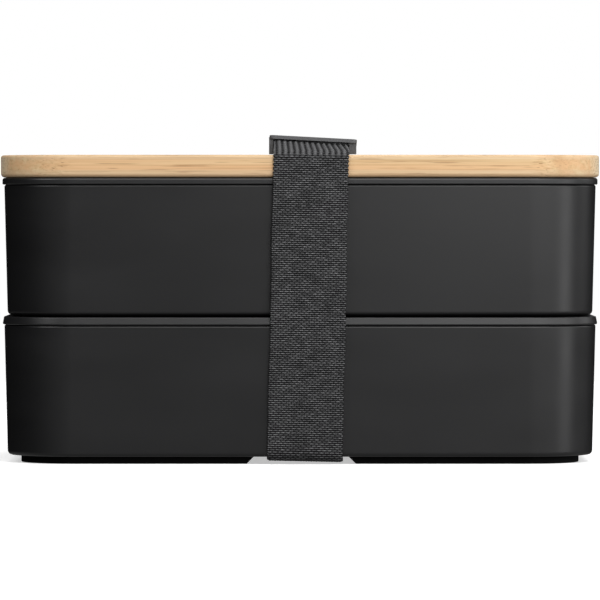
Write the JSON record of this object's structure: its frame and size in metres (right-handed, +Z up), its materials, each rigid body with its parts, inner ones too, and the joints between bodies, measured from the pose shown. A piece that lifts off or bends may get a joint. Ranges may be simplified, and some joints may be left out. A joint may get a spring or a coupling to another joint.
{
  "type": "bento lunch box",
  "caption": "Stacked two-tier bento lunch box with a sealing middle lid, a bamboo top lid and an elastic strap with a slider.",
  "frame": {"origin": "centre of the footprint, on the surface the box stands on", "axes": "+X along the length, to the right when the box is seen from the front; +Y towards the back; +Z up"},
  "size_m": [0.195, 0.1204, 0.1064],
  "materials": {
    "tray_plastic": "satin moulded polypropylene",
    "lid_plastic": "satin moulded polypropylene",
    "divider_plastic": "satin moulded polypropylene",
    "cutlery_plastic": "satin moulded polypropylene",
    "slider_plastic": "matte moulded acetal",
    "silicone": "matte silicone",
    "bamboo": "sanded and lightly oiled strip bamboo",
    "elastic_webbing": "woven elastic"
  },
  "bodies": {
    "lower_tier": {"lower_tray": "tray_plastic", "elastic_strap": "elastic_webbing"},
    "lower_divider": {"lower_divider": "divider_plastic"},
    "middle_lid": {"middle_lid": "lid_plastic", "middle_lid_gasket": "silicone"},
    "vent_plug": {"vent_plug": "silicone"},
    "fork": {"fork": "cutlery_plastic"},
    "knife": {"knife": "cutlery_plastic"},
    "spoon": {"spoon": "cutlery_plastic"},
    "upper_tier": {"upper_tray": "tray_plastic"},
    "upper_divider": {"upper_divider": "divider_plastic"},
    "top_lid": {"top_lid_frame": "lid_plastic", "top_lid_gasket": "silicone", "bamboo_board": "bamboo"},
    "strap_slider": {"strap_slider": "slider_plastic"}
  },
  "joints": [
    {"name": "middle_lid_lift", "type": "slide", "parent": "lower_tier", "child": "middle_lid", "axis": [0, 0, 1], "range_m": [0, 0.025], "deforming": ["elastic_strap"]},
    {"name": "upper_tray_lift", "type": "slide", "parent": "middle_lid", "child": "upper_tier", "axis": [0, 0, 1], "range_m": [0, 0.025], "deforming": ["elastic_strap"]},
    {"name": "top_lid_lift", "type": "slide", "parent": "upper_tier", "child": "top_lid", "axis": [0, 0, 1], "range_m": [0, 0.025], "deforming": ["elastic_strap"]},
    {"name": "slider_adjust", "type": "slide", "parent": "top_lid", "child": "strap_slider", "axis": [0, 1, 0], "range_m": [0, 0.02], "deforming": ["elastic_strap"]},
    {"name": "lower_divider_slide", "type": "slide", "parent": "lower_tier", "child": "lower_divider", "axis": [1, 0, 0], "range_m": [-0.03, 0.09]},
    {"name": "upper_divider_slide", "type": "slide", "parent": "upper_tier", "child": "upper_divider", "axis": [1, 0, 0], "range_m": [-0.085, 0.035]},
    {"name": "vent_plug_pull", "type": "slide", "parent": "middle_lid", "child": "vent_plug", "axis": [0, 0, 1], "range_m": [0, 0.006]},
    {"name": "fork_lift", "type": "slide", "parent": "middle_lid", "child": "fork", "axis": [0, 0, 1], "range_m": [0, 0.0125]},
    {"name": "knife_lift", "type": "slide", "parent": "middle_lid", "child": "knife", "axis": [0, 0, 1], "range_m": [0, 0.0125]},
    {"name": "spoon_lift", "type": "slide", "parent": "middle_lid", "child": "spoon", "axis": [0, 0, 1], "range_m": [0, 0.0125]}
  ],
  "couplings": [
    {"joint": "fork_lift", "follows": "upper_tray_lift", "ratio": 0.5},
    {"joint": "knife_lift", "follows": "upper_tray_lift", "ratio": 0.5},
    {"joint": "spoon_lift", "follows": "upper_tray_lift", "ratio": 0.5}
  ]
}
